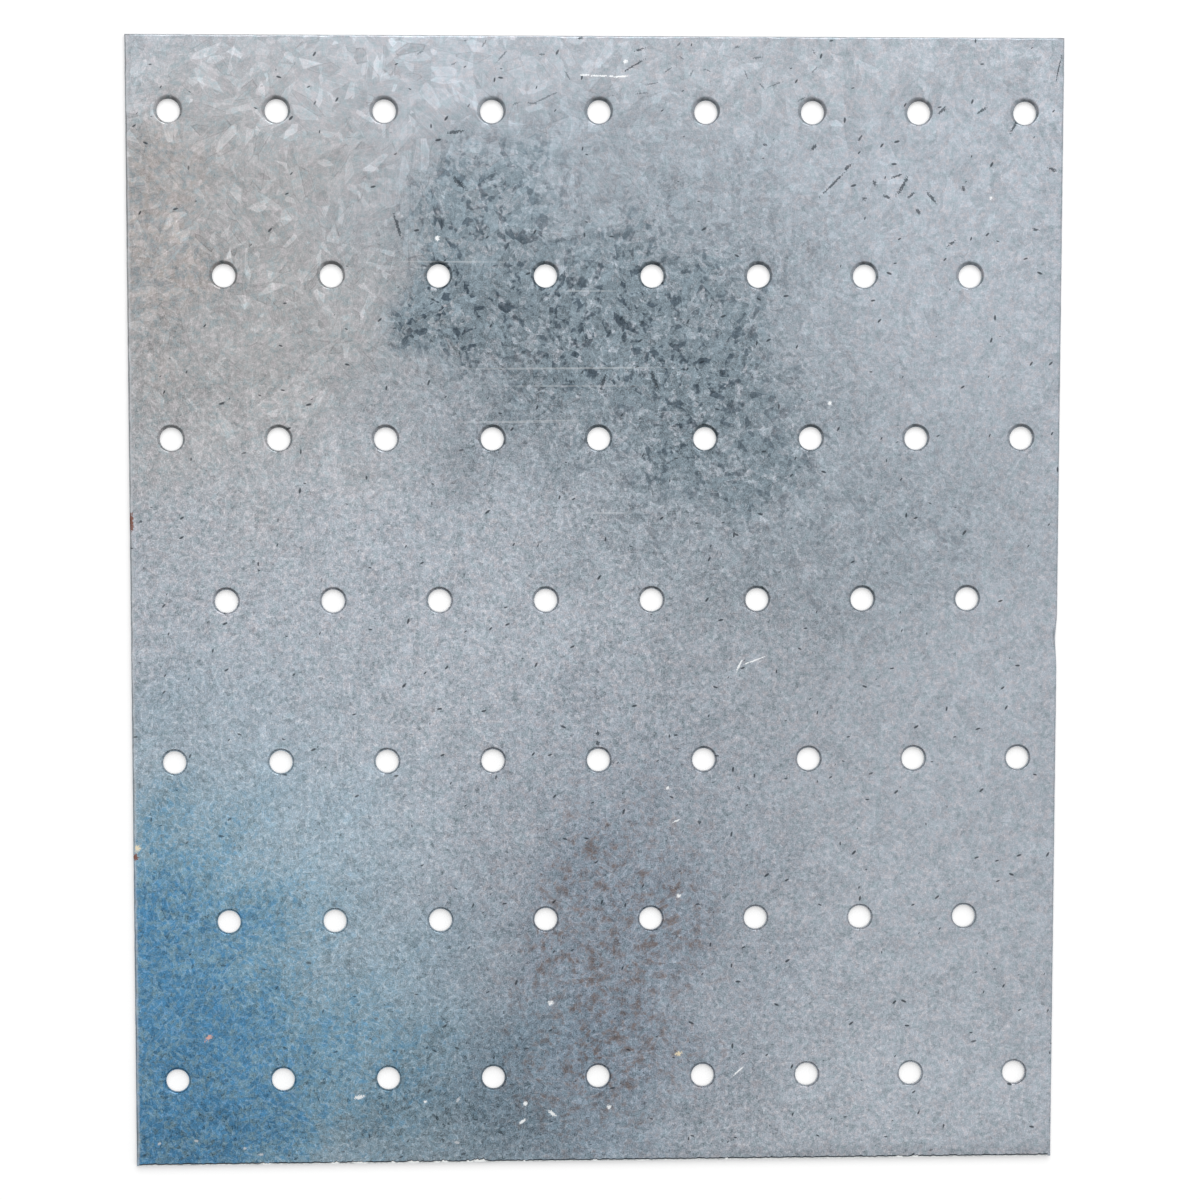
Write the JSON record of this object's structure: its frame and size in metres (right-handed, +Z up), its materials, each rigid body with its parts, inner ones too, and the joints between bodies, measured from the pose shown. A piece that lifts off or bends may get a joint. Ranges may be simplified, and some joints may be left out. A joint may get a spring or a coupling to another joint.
{
  "type": "tie plate",
  "caption": "Flat rectangular sheet steel plate with a staggered field of nail holes, nailed over the joint between timbers to tie them together.",
  "frame": {"origin": "middle of the underside, in the plane that the plate lies on", "axes": "+Z up out of the punched face, +Y along the plate's length towards the far end, +X across to the right"},
  "size_m": [0.146, 0.1778, 0.0009],
  "materials": {
    "zinc_coated_steel": "galvanised zinc with a fine feathered spangle, lightly scuffed"
  },
  "bodies": {
    "root": {"tie_plate": "zinc_coated_steel"}
  },
  "joints": []
}
